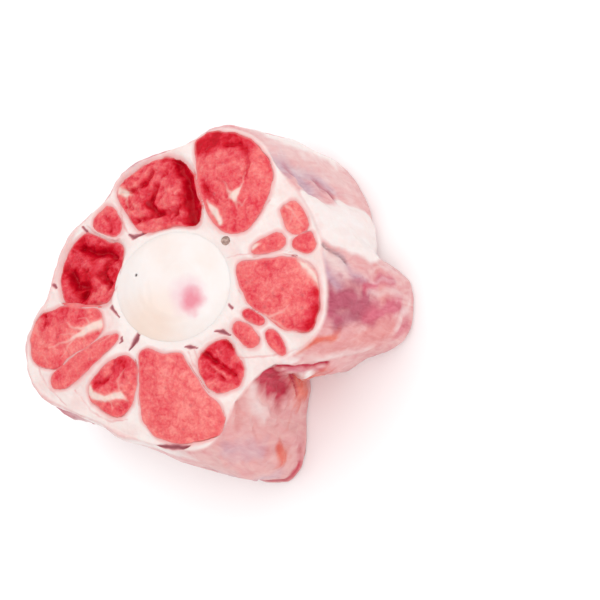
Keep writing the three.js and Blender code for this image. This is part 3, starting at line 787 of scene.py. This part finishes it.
def makeBody():
    body = fusedCopy("fatBody", sorted(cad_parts), bodyShape["grow"], bodyShape["voxel"],
                     bodyShape["smoothing"])

    def onFat(middle, normal):
        field = cutFields(middle[:, :2], "upper")
        onTop = (middle[:, 2] > segment["upperSlice"]) & (normal[:, 2] > 0.4)
        return onTop & (field["near"] > -1.2) & (field["bone"] > -1.0)

    refine(body, onFat)
    points, normals = readPoints(body), readNormals(body)
    xy = points[:, :2]
    height = segment["height"]
    level = points[:, 2] / height
    flat = onCut(xy, points[:, 2] > height / 2)
    inUpper = -loopDistance(xy, ends["upper"]["skin"])
    inLower = -loopDistance(xy, ends["lower"]["skin"])
    onTop = points[:, 2] > segment["upperSlice"]
    upper = onTop * ease(*bodyShape["upperEdge"], inUpper)
    lower = (points[:, 2] < bodyShape["lowerBelow"]) * ease(*bodyShape["lowerEdge"], inLower)

    # The two cuts: cut fat with lobules, sunken beside dark muscles, and open over what it holds
    first, second = cells(flat + 0.7 * noise(flat, 3.0, 7)[:, None], columns(bodyShape["lobule"]), 17)
    lobule = hill(second - first, bodyShape["lobuleWidth"])
    fields = {end: cutFields(xy, end) for end in ("upper", "lower")}
    relief = {}
    for end, field in fields.items():
        near, bone = field["near"], field["bone"]
        wide = ease(0.8, 2.2, near)
        form = bodyShape["wave"] * noise(flat, bodyShape["waveSize"], 27) * wide
        form += bodyShape["grain"] * fractal(flat, bodyShape["grainSize"], 3, 37)
        form -= bodyShape["lobuleDepth"] * lobule * wide * ease(0.5, 2.5, bone)
        form = form * ease(0.0, 1.6, near) + bodyShape["lip"] * hill(near - 1.1, 0.6)
        sunken = muscleShape["edgeShare"] * np.minimum(field["rise"], 0) * ease(2.8, 0.0, near)
        form += sunken + muscleShape["edgeSlope"] * np.minimum(near, 0)
        collar = bodyShape["collar"] + bodyShape["collarSlope"] * (bone + 1.0)
        if end == "upper":
            form += (collar - faceHeight(xy) - form) * ease(3.5, 0.3, bone) * ease(-0.2, 0.8, near)
        cord = field["cord"] + 0.35 * noise(flat, 1.6, 29)
        hole = np.maximum(ease(*bodyShape["boneHole"], bone), ease(*bodyShape["cordHole"], cord))
        hole = np.maximum(hole, ease(*bodyShape["muscleHole"], near))
        relief[end] = form, hole
    bloodAndShade = np.zeros(len(xy))
    form, hole = relief["upper"]
    wiggled = xy + bodyShape["markWander"] * sideways(flat, bodyShape["markWanderSize"], (83, 84))
    # Each mark is pressed in and painted dark: partly blood, partly painted shade in the slits
    for depth, line in bloodMarks:
        share = seamShare(wiggled, line) * onTop
        form -= depth * share
        bloodAndShade = np.maximum(bloodAndShade, share)
    septum = np.zeros(len(xy))
    for line in septa:
        septum = np.maximum(septum, seamShare(wiggled + 0.5 * noise(flat, 5.0, 35)[:, None], line))
    top = faceHeight(xy) + form - bodyShape["channelDrop"] * hole
    top -= bodyShape["septumDepth"] * septum
    form, hole = relief["lower"]
    foot = (bodyShape["footHeight"] + bodyShape["footShare"] * form).clip(0.0, 2.0)
    foot += bodyShape["footDrop"] * hole
    points[:, 2] += (top - points[:, 2]) * upper
    points[:, 2] += (foot - points[:, 2]) * lower

    # The side: lumps, folds and streaks of the outer membrane
    away = xy - boneMiddle(points[:, 2])
    angle = angleOf(away)
    cut = np.maximum(upper, lower)
    shell = BVHTree.FromPolygons(*muscleShell())
    cover = np.full(len(points), bodyShape["coverReach"])
    for i in np.where(cut < 0.95)[0]:
        *_, depth = shell.find_nearest(Vector(points[i] / 1000), bodyShape["coverReach"] / 1000)
        if depth is not None:
            cover[i] = depth * 1000
    hidden = ease(80, 100, angle) * ease(275, 255, angle)
    push = (bodyShape["lump"] + hiddenSide["swell"] * hidden) * noise(points, bodyShape["lumpSize"], 47)
    push += bodyShape["pucker"] * fractal(points, bodyShape["puckerSize"], 3, 57)
    along = np.column_stack([away, points[:, 2] / bodyShape["streakLength"]])
    along += bodyShape["streakBend"] * noise(points, bodyShape["streakBendSize"], 67)[:, None]
    push += bodyShape["streak"] * noise(along, bodyShape["streakSize"], 77)
    perDegree = wallRadius * math.pi / 180
    roundWay = 360 * perDegree
    unrolled = np.column_stack([angle * perDegree, points[:, 2]])
    unrolled += bodyShape["strokeWander"] * sideways(points, bodyShape["strokeWanderSize"], (83, 84))
    frayed = 1 + bodyShape["fray"] * fractal(points, bodyShape["fraySize"], 3, 93)
    colours = {}
    for colour, half, rise, most, line in wallStrokes:
        line = [(at % 360 * perDegree, share * height) for at, share in line]
        start = line[0][0]
        far = np.full(len(points), 1e3)
        for turn in (-1, 0, 1):  # a line may cross the angle 0, so it is tried on either side of it
            joined = [(x - roundWay * (round((x - start) / roundWay) - turn), y) for x, y in line]
            far = np.minimum(far, lineDistance(unrolled, joined))
        far *= frayed
        push += rise * hill(far, half)
        if colour:
            stain = most * hill(far, half * 1.15)  # a little wider than the fold
            colours[colour] = np.maximum(colours.get(colour, 0), stain)
    pad = np.array(wallPad["outline"]) * (perDegree, height)
    padDepth = -loopDistance(unrolled, rounded(pad), 12.0)
    push += wallPad["rise"] * ease(-1.0, 6.0, padDepth)
    colours["white"] = np.maximum(colours["white"] * 0.9, ease(-0.8, 2.2, padDepth))
    push = np.maximum(push, bodyShape["leastCover"] - cover)
    push *= (1 - cut) * ease(0.0, 0.05, level) * ease(1.02, 0.95, level)
    points += normals * push[:, None]
    points[:, 2] = np.maximum(points[:, 2], 0.0)
    writePoints(body, points)

    # What the material reads
    above = points[:, 2] > height / 2
    near = np.where(above, fields["upper"]["near"], fields["lower"]["near"])
    bone = np.where(above, fields["upper"]["bone"], fields["lower"]["bone"])
    # A dark red line along each muscle's outline on the cut, broken by noise: painted shade of the crease
    # between fat and flesh
    creaseShade = hill(near, 0.35) * (0.3 + 0.9 * noise(flat, 5.0, 97)).clip(0, 1)
    colours["white"] = np.maximum(colours["white"], 0.75 * ease(0.935, 0.97, level))
    writeField(body, "cut", cut)
    writeField(body, "nearFlesh", hill(np.maximum(near, 0), 1.3) * cut)
    writeField(body, "creaseShade", creaseShade * cut)
    writeField(body, "nearBone", hill(np.maximum(bone, 0), 3.5) * cut)
    writeField(body, "thin", (1 - cut) * ease(5.0, 1.4, cover))
    writeField(body, "vessel", bloodAndShade)
    writeField(body, "septum", septum * cut * (0.7 + 0.6 * noise(flat, 4.0, 36)).clip(0, 1))
    for name, strength in colours.items():
        writeField(body, name, strength * (1 - cut))
    return body


print("stage: fat body")
fatBody = makeBody()
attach(fatBody, "root")
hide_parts("fat_jacket")


# Vertebra and spinal cord. Waves and grains are their height and size in mm.

discShape = {
    "grow": 0.4, "voxel": 0.85, "smoothing": 8,
    "wave": 0.35, "waveSize": 12.0,
    "waveRim": (21.0, 14.0),  # the wave fades between these distances from the middle
    "grain": 0.05, "grainSize": 4.0,
    "rings": 0.02, "ringTurns": 1.9,  # faint growth rings, and their turns in radians a mm
    "pit": (-15.7, 8.0), "pitReach": 0.55, "pitDepth": 0.6,
    "bulgeBand": (46.0, 54.0),  # the bulge comes in between these heights
}


def makeVertebra():
    look = discShape
    bone = fusedCopy("jointDisc", ["vertebra"], look["grow"], look["voxel"], look["smoothing"])
    refine(bone, onCaps)
    points, normals = readPoints(bone), readNormals(bone)
    upper = points[:, 2] > segment["height"] / 2
    cap = ease(0.3, 0.8, np.abs(normals[:, 2]))
    bulge = discReach(points[:, :2]) * ease(*look["bulgeBand"], points[:, 2])
    points[:, :2] += normals[:, :2] * bulge[:, None]
    middle = np.where(upper[:, None], boneMiddle(segment["height"]), boneMiddle(0.0))
    out = np.hypot(*(points[:, :2] - middle).T)
    flat = onCut(points[:, :2], upper)
    form = look["wave"] * noise(flat, look["waveSize"], 5) * ease(*look["waveRim"], out)
    form += look["grain"] * fractal(flat, look["grainSize"], 2, 6)
    form += look["rings"] * np.sin(out * look["ringTurns"] + noise(flat, 9.0, 8))
    pit = hill(spotDistance(points, look["pit"]), look["pitReach"]) * upper
    form -= look["pitDepth"] * pit
    points[:, 2] += np.where(upper, form, np.abs(form) * 0.4) * cap
    points[:, 2] = np.maximum(points[:, 2], 0)
    writePoints(bone, points)
    writeField(bone, "pit", pit)
    return bone


print("stage: vertebra")
jointDisc = makeVertebra()
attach(jointDisc, "root")
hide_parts("vertebra")

cordShape = {"grow": 0.35, "voxel": 0.5, "smoothing": 3, "wave": 0.15, "waveSize": 1.5}


def makeCord():
    look = cordShape
    cord = fusedCopy("nerveCord", ["spinal_cord"], look["grow"], look["voxel"], look["smoothing"])
    points = readPoints(cord)
    writePoints(cord, points + look["wave"] * noise(points, look["waveSize"], 9)[:, None])
    return cord


print("stage: spinal cord")
nerve = makeCord()
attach(nerve, "root")
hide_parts("spinal_cord")


# Materials

# Strength of the light on the upper cut: a colour is given as it is seen there, and the surface's own
# colour is darker by that much
lightLevel = 1.3


def linear(code, level=lightLevel):  # an sRGB hex colour, as the linear values that the shader takes
    values = [int(code[i:i + 2], 16) / 255 for i in (1, 3, 5)]
    return [(v / 12.92 if v <= 0.04045 else ((v + 0.055) / 1.055) ** 2.4) / level for v in values] + [1.0]


def perMetre(size):  # a pattern's scale from its real size in mm
    return 1000.0 / size


def newMaterial(name):
    material = bpy.data.materials.new(name)
    material.use_nodes = True
    material.node_tree.nodes.clear()
    return material, material.node_tree


def add(tree, kind, inputs, out=0, **settings):  # a new node, linked and set, as one of its outputs
    node = tree.nodes.new("ShaderNode" + kind)
    for key, value in settings.items():
        setattr(node, key, value)
    for key, value in inputs.items():
        if isinstance(value, bpy.types.NodeSocket):
            tree.links.new(value, node.inputs[key])
        else:
            node.inputs[key].default_value = value
    return node if out is None else node.outputs[out]


def coated(tree, colour, coats):  # coats are (where, low, high, how much, colour), laid over each other
    for where, low, high, most, coat in coats:
        share = add(tree, "MapRange", {0: where, 1: low, 2: high, 3: 0.0, 4: most})
        coat = linear(coat) if isinstance(coat, str) else coat
        colour = add(tree, "Mix", {0: share, 6: colour, 7: coat}, 2, data_type="RGBA")
    return colour


def bumped(tree, bumps):  # bumps are (height, strength, depth in mm), one over the other
    normal = None
    for height, strength, depth in bumps:
        inputs = {"Height": height, "Strength": strength, "Distance": depth / 1000}
        if normal:
            inputs["Normal"] = normal
        normal = add(tree, "Bump", inputs)
    return normal


def surfaced(tree, inputs):
    shader = add(tree, "BsdfPrincipled", inputs)
    add(tree, "OutputMaterial", {"Surface": shader}, None)


fleshFinish = {
    "mottle": 2.78, "speck": 0.91, "dot": 3.33, "bundle": 1.56,  # sizes of the patterns, in mm
    "mottleShift": 0.9, "speckShift": 0.42,  # how far each pattern moves the tone
    "tones": [(0.0, "#ff8d86"), (0.22, "#f45f62"), (0.45, "#ea3347"), (0.72, "#db0a26"),
              (1.0, "#c4001a")],  # from pale to dark
    "membrane": "#fb8c88",  # between the fascicles
    "dots": "#c23a48",  # small dark specks
    "thinFat": "#f9aca4", "thickFat": "#fbdcd2", "edge": "#f58a8a",
    "surface": {
        "Subsurface Weight": 0.25, "Subsurface Radius": (1.0, 0.2, 0.12), "Subsurface Scale": 0.0015,
        "Coat Weight": 0.08, "Coat Roughness": 0.15,
    },
}


def fleshMaterial():
    # Raw beef muscle, cut across the grain: wet salmon red, mottled, with torn crimson folds and pale
    # fat lines. Its fascicles are drawn somewhat coarser than they are, so that they show.
    material, tree = newMaterial("Raw beef muscle, cut across")
    look = fleshFinish
    place = add(tree, "TexCoord", {}, "Object")
    names = ("tone", "fat", "rim")
    tone, fat, rim = (add(tree, "Attribute", {}, "Fac", attribute_name=name) for name in names)
    mottle = add(tree, "TexNoise", {"Vector": place, "Scale": perMetre(look["mottle"]), "Detail": 6.0,
                                    "Roughness": 0.7, "Distortion": 0.5})
    speck = add(tree, "TexNoise", {"Vector": place, "Scale": perMetre(look["speck"]), "Detail": 3.0,
                                   "Roughness": 0.6})
    dot = add(tree, "TexVoronoi", {"Vector": place, "Scale": perMetre(look["dot"])}, None)
    dotKind = add(tree, "SeparateColor", {"Color": dot.outputs["Color"]})
    bundle = add(tree, "TexVoronoi", {"Vector": place, "Scale": perMetre(look["bundle"])}, "Distance",
                 feature="DISTANCE_TO_EDGE")

    shade = tone
    for pattern, shift in ((mottle, look["mottleShift"]), (speck, look["speckShift"])):
        moved = add(tree, "Math", {0: pattern, 1: shift, 2: -shift / 2}, operation="MULTIPLY_ADD")
        shade = add(tree, "Math", {0: shade, 1: moved}, operation="ADD")
    ramp = add(tree, "ValToRGB", {"Fac": shade}, None)
    stops = ramp.color_ramp.elements
    for position, _ in look["tones"][1:-1]:
        stops.new(position)
    for stop, (_, code) in zip(stops, look["tones"]):
        stop.color = linear(code)

    edges = add(tree, "MapRange", {0: bundle, 1: 0.0, 2: 0.14, 3: 0.2, 4: 0.0})
    light = add(tree, "MapRange", {0: shade, 1: 0.25, 2: 0.5, 3: 1.0, 4: 0.0})
    lines = add(tree, "Math", {0: edges, 1: light}, operation="MULTIPLY")
    spots = add(tree, "MapRange", {0: dot.outputs["Distance"], 1: 0.08, 2: 0.26, 3: 0.45, 4: 0.0})
    chosen = add(tree, "MapRange", {0: dotKind, 1: 0.66, 2: 0.8})
    dots = add(tree, "Math", {0: spots, 1: chosen}, operation="MULTIPLY")
    uneven = add(tree, "MapRange", {0: mottle, 1: 0.35, 2: 0.6, 3: 0.5, 4: 1.0})
    edge = add(tree, "Math", {0: rim, 1: uneven}, operation="MULTIPLY")
    thickness = coated(tree, linear(look["thinFat"]), [(fat, 0.3, 0.95, 1.0, look["thickFat"])])
    colour = coated(tree, ramp.outputs["Color"], [
        (lines, 0.0, 1.0, 1.0, look["membrane"]),
        (dots, 0.0, 1.0, 1.0, look["dots"]),
        (fat, 0.0, 0.75, 1.0, thickness),
        (edge, 0.2, 0.9, 0.7, look["edge"]),
    ])
    surfaced(tree, {
        "Base Color": colour,
        "Roughness": add(tree, "MapRange", {0: speck, 1: 0.3, 2: 0.7, 3: 0.32, 4: 0.5}),
        "Specular IOR Level": add(tree, "MapRange", {0: shade, 1: 0.3, 2: 0.75, 3: 0.4, 4: 0.08}),
        "Normal": bumped(tree, [(mottle, 0.35, 0.5), (speck, 0.2, 0.3)]),
        **look["surface"],
    })
    return material


fatFinish = {
    "cloud": 9.09, "fine": 1.54, "streak": 3.03,  # sizes of the patterns, in mm
    "stretch": 0.25,  # of the streaks, along the tail
    "cut": "#fdf0ec", "cutDeep": "#f7d9d5", "atBone": "#fdf2ee", "atFlesh": "#f4a3a2",
    # The crease colour is painted shade, dark red where the cut fat meets the flesh
    "septum": "#ec8f90", "creaseShade": "#c8444e", "vesselEdge": "#dc6a78", "vessel": "#8a2238",
    # The colours of the side, each where the membrane is thin and where it is thick. meat is what shows
    # through it, and the strokes go over each other in this order.
    "skin": ("#e59094", "#f4c5c2"),
    "meat": ("#cf5268", "#ea8a94"),
    "strokes": [
        ("pale", "#e59c9c", "#f1bcb8"), ("rose", "#e07a7c", "#f2aca8"),
        ("grey", "#c08c9f", "#e0bdc8"), ("milky", "#f0cbc9", "#f9e2de"),
        ("plum", "#a32a4a", "#d2647c"), ("magenta", "#c42c50", "#ea7c90"),
        # The dark crimson stroke colours on this line are partly blood and partly painted shade, in the
        # cleft and under edges
        ("amber", "#d8483a", "#f4806c"), ("bloodAndShade", "#ac0c2c", "#da3a56"),
        ("shade", "#8a5c62", "#b98c90"), ("white", "#fae6e2", "#fdf4f2"),
    ],
    "surface": {
        "Subsurface Weight": 0.3, "Subsurface Radius": (1.0, 0.5, 0.4), "Subsurface Scale": 0.002,
        "Coat Weight": 0.12, "Coat Roughness": 0.12,
    },
}


def fatMaterial():
    # Raw beef fat under its membrane: moist, cream where it is cut and thick, pink to purple where flesh
    # shows through
    material, tree = newMaterial("Raw beef fat and fascia")
    look = fatFinish
    place = add(tree, "TexCoord", {}, "Object")
    names = ("cut", "nearFlesh", "creaseShade", "nearBone", "thin", "vessel", "septum", "bloodAndShade")
    fields = {name: add(tree, "Attribute", {}, "Fac", attribute_name=name) for name in names}
    cloud = add(tree, "TexNoise", {"Vector": place, "Scale": perMetre(look["cloud"]), "Detail": 4.0,
                                   "Roughness": 0.55})
    fine = add(tree, "TexNoise", {"Vector": place, "Scale": perMetre(look["fine"]), "Detail": 3.0,
                                  "Roughness": 0.6})
    along = add(tree, "Mapping", {"Vector": place, "Scale": (1.0, 1.0, look["stretch"])})
    streak = add(tree, "TexNoise", {"Vector": along, "Scale": perMetre(look["streak"]), "Detail": 5.0,
                                    "Roughness": 0.6, "Distortion": 0.6})
    veil = add(tree, "MapRange", {0: streak, 1: 0.25, 2: 0.75})

    def veiled(colours):  # from where the membrane is thin to where it is thick
        thinner, thicker = (linear(code) for code in colours)
        return add(tree, "Mix", {0: veil, 6: thinner, 7: thicker}, 2, data_type="RGBA")

    cutFat = coated(tree, linear(look["cut"]), [
        (cloud, 0.38, 0.7, 1.0, look["cutDeep"]),
        (fields["nearBone"], 0.1, 1.0, 0.7, look["atBone"]),
        (fields["nearFlesh"], 0.25, 1.0, 0.75, look["atFlesh"]),
        (fields["septum"], 0.1, 0.9, 0.6, look["septum"]),
    ])
    patchy = add(tree, "MapRange", {0: cloud, 1: 0.4, 2: 0.7, 3: 0.0, 4: 0.6})
    showing = add(tree, "Math", {0: fields["thin"], 1: patchy}, operation="MULTIPLY")
    skin = coated(tree, veiled(look["skin"]), [(showing, 0.0, 1.0, 1.0, veiled(look["meat"]))])
    uneven = add(tree, "MapRange", {0: cloud, 1: 0.3, 2: 0.55, 3: 0.75, 4: 1.15})
    for name, *colours in look["strokes"]:
        stroke = add(tree, "Attribute", {}, "Fac", attribute_name=name)
        broken = add(tree, "Math", {0: stroke, 1: uneven}, operation="MULTIPLY")
        skin = coated(tree, skin, [(broken, 0.08, 0.85, 1.0, veiled(colours))])
    colour = coated(tree, skin, [
        (fields["cut"], 0.0, 1.0, 1.0, cutFat),
        (fields["creaseShade"], 0.2, 1.0, 0.7, look["creaseShade"]),
        # The vessel colours are partly the vessels' blood and partly painted shade in the slits
        (fields["vessel"], 0.0, 0.5, 0.7, look["vesselEdge"]),
        (fields["vessel"], 0.3, 1.0, 0.85, look["vessel"]),
    ])
    dullness = add(tree, "MapRange", {0: fields["bloodAndShade"], 1: 0.1, 2: 0.7, 3: 0.3, 4: 0.06})
    surfaced(tree, {
        "Base Color": colour,
        "Roughness": add(tree, "MapRange", {0: fine, 1: 0.3, 2: 0.7, 3: 0.3, 4: 0.48}),
        "Specular IOR Level": dullness,
        "Normal": bumped(tree, [(streak, 0.35, 0.5), (fine, 0.25, 0.3)]),
        **look["surface"],
    })
    return material


cartilageFinish = {
    "cloud": 16.67, "warp": 4.55,  # sizes of the patterns, in mm
    "bend": 0.004, "drift": 0.002,  # how far the warp moves a stain, in metres, and its mean
    "clear": "#fdf6f4", "cloudy": "#fbece6", "pit": "#5c4a48",
    "stains": [  # x, y and reach in metres, how much, colour
        # The cream stain is painted shade on the side of the domed disc towards -x and -y; the pink ones
        # are the marrow's spot and its halo
        (-0.010, -0.010, 0.016, 0.8, "#fbe0d0"),
        (0.0048, 0.0002, 0.0085, 0.7, "#f6c4d2"),
        (0.0062, -0.0012, 0.0058, 0.95, "#f08a9c"),
    ],
    "surface": {
        "Roughness": 0.3, "IOR": 1.45, "Coat Weight": 0.2, "Coat Roughness": 0.12,
        "Subsurface Weight": 0.25, "Subsurface Radius": (1.0, 0.7, 0.6), "Subsurface Scale": 0.002,
    },
}


def cartilageMaterial():
    # Wet joint cartilage: pearly white, smooth, with a pink spot where the marrow shows, and a cream
    # patch towards -x and -y that is painted shade of the domed face
    material, tree = newMaterial("Wet joint cartilage")
    look = cartilageFinish
    place = add(tree, "TexCoord", {}, "Object")
    cloud = add(tree, "TexNoise", {"Vector": place, "Scale": perMetre(look["cloud"]), "Detail": 3.0,
                                   "Roughness": 0.5})
    warp = add(tree, "TexNoise", {"Vector": place, "Scale": perMetre(look["warp"]), "Detail": 2.0},
               "Color")
    bent = add(tree, "VectorMath", {0: warp, 1: (look["bend"], look["bend"], 0.0), 2: place},
               operation="MULTIPLY_ADD")
    coats = [(cloud, 0.35, 0.7, 1.0, look["cloudy"])]
    for x, y, size, most, code in look["stains"]:
        moved = add(tree, "Mapping", {
            "Vector": bent,
            "Location": (-(x + look["drift"]) / size, -(y + look["drift"]) / size, 0.0),
            "Scale": (1 / size, 1 / size, 0.0),
        })
        stain = add(tree, "TexGradient", {"Vector": moved}, "Fac", gradient_type="SPHERICAL")
        coats.append((stain, 0.0, 0.7, most, code))
    pit = add(tree, "Attribute", {}, "Fac", attribute_name="pit")
    coats.append((pit, 0.2, 0.7, 1.0, look["pit"]))
    surfaced(tree, {"Base Color": coated(tree, linear(look["clear"]), coats), **look["surface"]})
    return material


cordFinish = {"cloud": 1.11, "dark": "#94746a", "pale": "#d3b0a4", "roughness": 0.4}  # cloud in mm


def cordMaterial():
    # Spinal cord: soft, moist, grey-brown
    material, tree = newMaterial("Spinal cord tissue")
    place = add(tree, "TexCoord", {}, "Object")
    look = cordFinish
    cloud = add(tree, "TexNoise", {"Vector": place, "Scale": perMetre(look["cloud"]), "Detail": 2.0})
    colour = coated(tree, linear(look["dark"]), [(cloud, 0.35, 0.65, 1.0, look["pale"])])
    surfaced(tree, {"Base Color": colour, "Roughness": look["roughness"]})
    return material


print("stage: materials")
flesh = fleshMaterial()
for piece in fleshPieces:
    piece.data.materials.append(flesh)
fatBody.data.materials.append(fatMaterial())
jointDisc.data.materials.append(cartilageMaterial())
nerve.data.materials.append(cordMaterial())


# Floor, light and camera

print("stage: floor, light and camera")
studio = {
    "floor": 4.0,  # metres across
    "floorDrop": 0.0003,  # below the object, so that the two don't flicker
    "paper": "#fbfbfb",
    "worldLight": 0.92,
    "lamps": [
        {"name": "softboxAbove", "place": (-0.15, 0.35, 0.9), "size": 1.0, "watts": 3.6},
        {"name": "softboxRight", "place": (0.9, -0.35, 0.5), "size": 0.9, "watts": 3.2},
    ],
}
bpy.ops.mesh.primitive_plane_add(size=studio["floor"], location=(0, 0, -studio["floorDrop"]))
floor = bpy.context.object
floor.name = "floor"
# Matt white paper, as under the pieces in a studio
paper, tree = newMaterial("White studio paper")
surfaced(tree, {"Base Color": linear(studio["paper"], 1.0), "Roughness": 0.7})
floor.data.materials.append(paper)

for lamp in studio["lamps"]:
    data = bpy.data.lights.new(lamp["name"], "AREA")
    data.shape = "SQUARE"
    data.size = lamp["size"]
    data.energy = lamp["watts"]
    light = bpy.data.objects.new(lamp["name"], data)
    light.location = lamp["place"]
    light.rotation_euler = (-Vector(lamp["place"])).to_track_quat("-Z", "Y").to_euler()
    bpy.context.scene.collection.objects.link(light)

world = bpy.data.worlds.new("studio")
bpy.context.scene.world = world
world.use_nodes = True
world.node_tree.nodes["Background"].inputs["Color"].default_value = (1, 1, 1, 1)
world.node_tree.nodes["Background"].inputs["Strength"].default_value = studio["worldLight"]

view = {
    "place": (0.31785, -0.07479, 0.66151),
    "right": (0.91258, 0.02342, -0.40822),
    "up": (0.02342, 0.99372, 0.10938),
    "back": (0.40822, -0.10938, 0.90631),
    "lens": 120.0,
    "sensor": 36.0,
}
cameraData = bpy.data.cameras.new("camera")
cameraData.lens = view["lens"]
cameraData.sensor_width = view["sensor"]
camera = bpy.data.objects.new("camera", cameraData)
turn = Matrix((view["right"], view["up"], view["back"])).transposed().to_4x4()
camera.matrix_world = Matrix.Translation(view["place"]) @ turn
bpy.context.scene.collection.objects.link(camera)
bpy.context.scene.camera = camera
bpy.context.scene.view_settings.view_transform = "Standard"
